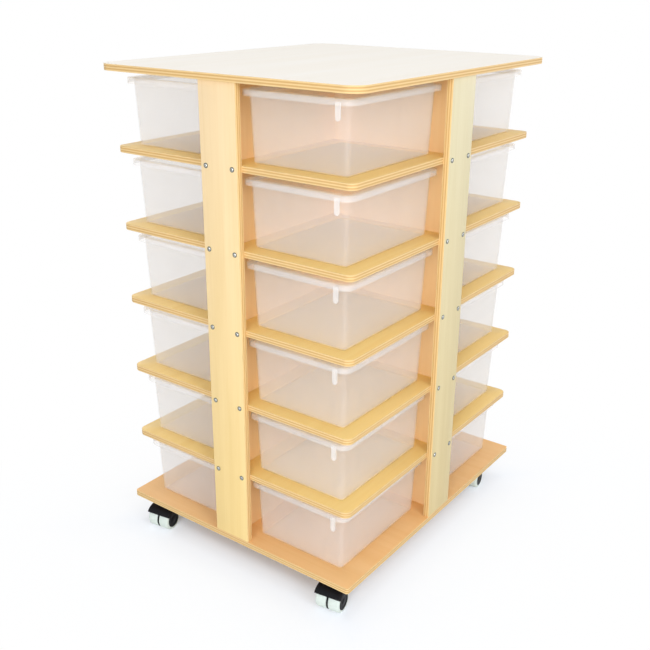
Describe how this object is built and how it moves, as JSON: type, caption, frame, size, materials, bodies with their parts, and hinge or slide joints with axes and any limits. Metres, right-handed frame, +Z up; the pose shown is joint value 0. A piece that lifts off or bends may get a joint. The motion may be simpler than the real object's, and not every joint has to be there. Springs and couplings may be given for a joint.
{
  "type": "classroom tray storage unit",
  "caption": "Wheeled plywood storage tower: quarter shelves round a cross of dividers, each bay holding a loose frosted plastic tray that draws out past the corner.",
  "frame": {"origin": "middle of the footprint, on the floor under the castors", "axes": "+Z up, -Y the front, +X the right-hand side seen from the front"},
  "size_m": [0.62, 0.73, 1.051],
  "materials": {
    "top_board": "pale satin laminate on plywood",
    "birch_ply": "clear satin lacquer",
    "dowel_wood": "bare",
    "tray_plastic": "frosted, translucent",
    "castor_black": "moulded satin",
    "castor_tread": "smooth",
    "screw_steel": "zinc plated",
    "bright_steel": "zinc plated"
  },
  "bodies": {
    "carcass": {"top_board": "top_board", "base_board": "birch_ply", "front_plank": "birch_ply", "back_plank": "birch_ply", "left_plank": "birch_ply", "right_plank": "birch_ply", "long_divider": "birch_ply", "left_divider": "birch_ply", "right_divider": "birch_ply", "shelf_level_1": "birch_ply", "shelf_level_2": "birch_ply", "shelf_level_3": "birch_ply", "shelf_level_4": "birch_ply", "shelf_level_5": "birch_ply", "plank_screws": "screw_steel", "castor_screws": "screw_steel", "base_screws": "screw_steel", "top_dowels": "dowel_wood", "castor_plates": "bright_steel", "castor_pins": "bright_steel"},
    "tray_front_right_1": {"tray_front_right_1": "tray_plastic"},
    "tray_front_right_2": {"tray_front_right_2": "tray_plastic"},
    "tray_front_right_3": {"tray_front_right_3": "tray_plastic"},
    "tray_front_right_4": {"tray_front_right_4": "tray_plastic"},
    "tray_front_right_5": {"tray_front_right_5": "tray_plastic"},
    "tray_front_right_6": {"tray_front_right_6": "tray_plastic"},
    "tray_front_left_1": {"tray_front_left_1": "tray_plastic"},
    "tray_front_left_2": {"tray_front_left_2": "tray_plastic"},
    "tray_front_left_3": {"tray_front_left_3": "tray_plastic"},
    "tray_front_left_4": {"tray_front_left_4": "tray_plastic"},
    "tray_front_left_5": {"tray_front_left_5": "tray_plastic"},
    "tray_front_left_6": {"tray_front_left_6": "tray_plastic"},
    "tray_back_right_1": {"tray_back_right_1": "tray_plastic"},
    "tray_back_right_2": {"tray_back_right_2": "tray_plastic"},
    "tray_back_right_3": {"tray_back_right_3": "tray_plastic"},
    "tray_back_right_4": {"tray_back_right_4": "tray_plastic"},
    "tray_back_right_5": {"tray_back_right_5": "tray_plastic"},
    "tray_back_right_6": {"tray_back_right_6": "tray_plastic"},
    "tray_back_left_1": {"tray_back_left_1": "tray_plastic"},
    "tray_back_left_2": {"tray_back_left_2": "tray_plastic"},
    "tray_back_left_3": {"tray_back_left_3": "tray_plastic"},
    "tray_back_left_4": {"tray_back_left_4": "tray_plastic"},
    "tray_back_left_5": {"tray_back_left_5": "tray_plastic"},
    "tray_back_left_6": {"tray_back_left_6": "tray_plastic"},
    "castor_front_right": {"castor_hood_front_right": "castor_black", "castor_axle_front_right": "bright_steel"},
    "castor_wheel_front_right_a": {"castor_wheel_front_right_a": "castor_tread"},
    "castor_wheel_front_right_b": {"castor_wheel_front_right_b": "castor_tread"},
    "castor_front_left": {"castor_hood_front_left": "castor_black", "castor_axle_front_left": "bright_steel"},
    "castor_wheel_front_left_a": {"castor_wheel_front_left_a": "castor_tread"},
    "castor_wheel_front_left_b": {"castor_wheel_front_left_b": "castor_tread"},
    "castor_back_right": {"castor_hood_back_right": "castor_black", "castor_axle_back_right": "bright_steel"},
    "castor_wheel_back_right_a": {"castor_wheel_back_right_a": "castor_tread"},
    "castor_wheel_back_right_b": {"castor_wheel_back_right_b": "castor_tread"},
    "castor_back_left": {"castor_hood_back_left": "castor_black", "castor_axle_back_left": "bright_steel"},
    "castor_wheel_back_left_a": {"castor_wheel_back_left_a": "castor_tread"},
    "castor_wheel_back_left_b": {"castor_wheel_back_left_b": "castor_tread"}
  },
  "joints": [
    {"name": "tray_slide_front_right_1", "type": "slide", "parent": "carcass", "child": "tray_front_right_1", "axis": [0.6691, -0.7431, 0], "range_m": [0, 0.21]},
    {"name": "tray_slide_front_right_2", "type": "slide", "parent": "carcass", "child": "tray_front_right_2", "axis": [0.6691, -0.7431, 0], "range_m": [0, 0.21]},
    {"name": "tray_slide_front_right_3", "type": "slide", "parent": "carcass", "child": "tray_front_right_3", "axis": [0.6691, -0.7431, 0], "range_m": [0, 0.21]},
    {"name": "tray_slide_front_right_4", "type": "slide", "parent": "carcass", "child": "tray_front_right_4", "axis": [0.6691, -0.7431, 0], "range_m": [0, 0.21]},
    {"name": "tray_slide_front_right_5", "type": "slide", "parent": "carcass", "child": "tray_front_right_5", "axis": [0.6691, -0.7431, 0], "range_m": [0, 0.21]},
    {"name": "tray_slide_front_right_6", "type": "slide", "parent": "carcass", "child": "tray_front_right_6", "axis": [0.6691, -0.7431, 0], "range_m": [0, 0.21]},
    {"name": "tray_slide_front_left_1", "type": "slide", "parent": "carcass", "child": "tray_front_left_1", "axis": [-0.6691, -0.7431, 0], "range_m": [0, 0.21]},
    {"name": "tray_slide_front_left_2", "type": "slide", "parent": "carcass", "child": "tray_front_left_2", "axis": [-0.6691, -0.7431, 0], "range_m": [0, 0.21]},
    {"name": "tray_slide_front_left_3", "type": "slide", "parent": "carcass", "child": "tray_front_left_3", "axis": [-0.6691, -0.7431, 0], "range_m": [0, 0.21]},
    {"name": "tray_slide_front_left_4", "type": "slide", "parent": "carcass", "child": "tray_front_left_4", "axis": [-0.6691, -0.7431, 0], "range_m": [0, 0.21]},
    {"name": "tray_slide_front_left_5", "type": "slide", "parent": "carcass", "child": "tray_front_left_5", "axis": [-0.6691, -0.7431, 0], "range_m": [0, 0.21]},
    {"name": "tray_slide_front_left_6", "type": "slide", "parent": "carcass", "child": "tray_front_left_6", "axis": [-0.6691, -0.7431, 0], "range_m": [0, 0.21]},
    {"name": "tray_slide_back_right_1", "type": "slide", "parent": "carcass", "child": "tray_back_right_1", "axis": [0.6691, 0.7431, 0], "range_m": [0, 0.21]},
    {"name": "tray_slide_back_right_2", "type": "slide", "parent": "carcass", "child": "tray_back_right_2", "axis": [0.6691, 0.7431, 0], "range_m": [0, 0.21]},
    {"name": "tray_slide_back_right_3", "type": "slide", "parent": "carcass", "child": "tray_back_right_3", "axis": [0.6691, 0.7431, 0], "range_m": [0, 0.21]},
    {"name": "tray_slide_back_right_4", "type": "slide", "parent": "carcass", "child": "tray_back_right_4", "axis": [0.6691, 0.7431, 0], "range_m": [0, 0.21]},
    {"name": "tray_slide_back_right_5", "type": "slide", "parent": "carcass", "child": "tray_back_right_5", "axis": [0.6691, 0.7431, 0], "range_m": [0, 0.21]},
    {"name": "tray_slide_back_right_6", "type": "slide", "parent": "carcass", "child": "tray_back_right_6", "axis": [0.6691, 0.7431, 0], "range_m": [0, 0.21]},
    {"name": "tray_slide_back_left_1", "type": "slide", "parent": "carcass", "child": "tray_back_left_1", "axis": [-0.6691, 0.7431, 0], "range_m": [0, 0.21]},
    {"name": "tray_slide_back_left_2", "type": "slide", "parent": "carcass", "child": "tray_back_left_2", "axis": [-0.6691, 0.7431, 0], "range_m": [0, 0.21]},
    {"name": "tray_slide_back_left_3", "type": "slide", "parent": "carcass", "child": "tray_back_left_3", "axis": [-0.6691, 0.7431, 0], "range_m": [0, 0.21]},
    {"name": "tray_slide_back_left_4", "type": "slide", "parent": "carcass", "child": "tray_back_left_4", "axis": [-0.6691, 0.7431, 0], "range_m": [0, 0.21]},
    {"name": "tray_slide_back_left_5", "type": "slide", "parent": "carcass", "child": "tray_back_left_5", "axis": [-0.6691, 0.7431, 0], "range_m": [0, 0.21]},
    {"name": "tray_slide_back_left_6", "type": "slide", "parent": "carcass", "child": "tray_back_left_6", "axis": [-0.6691, 0.7431, 0], "range_m": [0, 0.21]},
    {"name": "castor_swivel_front_right", "type": "hinge", "parent": "carcass", "child": "castor_front_right", "pos_m": [0.244, -0.299, 0.054], "axis": [0, 0, 1], "continuous": true},
    {"name": "wheel_spin_front_right_a", "type": "hinge", "parent": "castor_front_right", "child": "castor_wheel_front_right_a", "pos_m": [0.23435, -0.33671, 0.025], "axis": [0.9903, 0.1392, 0], "continuous": true},
    {"name": "wheel_spin_front_right_b", "type": "hinge", "parent": "castor_front_right", "child": "castor_wheel_front_right_b", "pos_m": [0.26367, -0.33259, 0.025], "axis": [0.9903, 0.1392, 0], "continuous": true},
    {"name": "castor_swivel_front_left", "type": "hinge", "parent": "carcass", "child": "castor_front_left", "pos_m": [-0.244, -0.299, 0.054], "axis": [0, 0, 1], "continuous": true},
    {"name": "wheel_spin_front_left_a", "type": "hinge", "parent": "castor_front_left", "child": "castor_wheel_front_left_a", "pos_m": [-0.25365, -0.33671, 0.025], "axis": [0.9903, 0.1392, 0], "continuous": true},
    {"name": "wheel_spin_front_left_b", "type": "hinge", "parent": "castor_front_left", "child": "castor_wheel_front_left_b", "pos_m": [-0.22433, -0.33259, 0.025], "axis": [0.9903, 0.1392, 0], "continuous": true},
    {"name": "castor_swivel_back_right", "type": "hinge", "parent": "carcass", "child": "castor_back_right", "pos_m": [0.244, 0.299, 0.054], "axis": [0, 0, 1], "continuous": true},
    {"name": "wheel_spin_back_right_a", "type": "hinge", "parent": "castor_back_right", "child": "castor_wheel_back_right_a", "pos_m": [0.23435, 0.26129, 0.025], "axis": [0.9903, 0.1392, 0], "continuous": true},
    {"name": "wheel_spin_back_right_b", "type": "hinge", "parent": "castor_back_right", "child": "castor_wheel_back_right_b", "pos_m": [0.26367, 0.26541, 0.025], "axis": [0.9903, 0.1392, 0], "continuous": true},
    {"name": "castor_swivel_back_left", "type": "hinge", "parent": "carcass", "child": "castor_back_left", "pos_m": [-0.244, 0.299, 0.054], "axis": [0, 0, 1], "continuous": true},
    {"name": "wheel_spin_back_left_a", "type": "hinge", "parent": "castor_back_left", "child": "castor_wheel_back_left_a", "pos_m": [-0.25365, 0.26129, 0.025], "axis": [0.9903, 0.1392, 0], "continuous": true},
    {"name": "wheel_spin_back_left_b", "type": "hinge", "parent": "castor_back_left", "child": "castor_wheel_back_left_b", "pos_m": [-0.22433, 0.26541, 0.025], "axis": [0.9903, 0.1392, 0], "continuous": true}
  ]
}
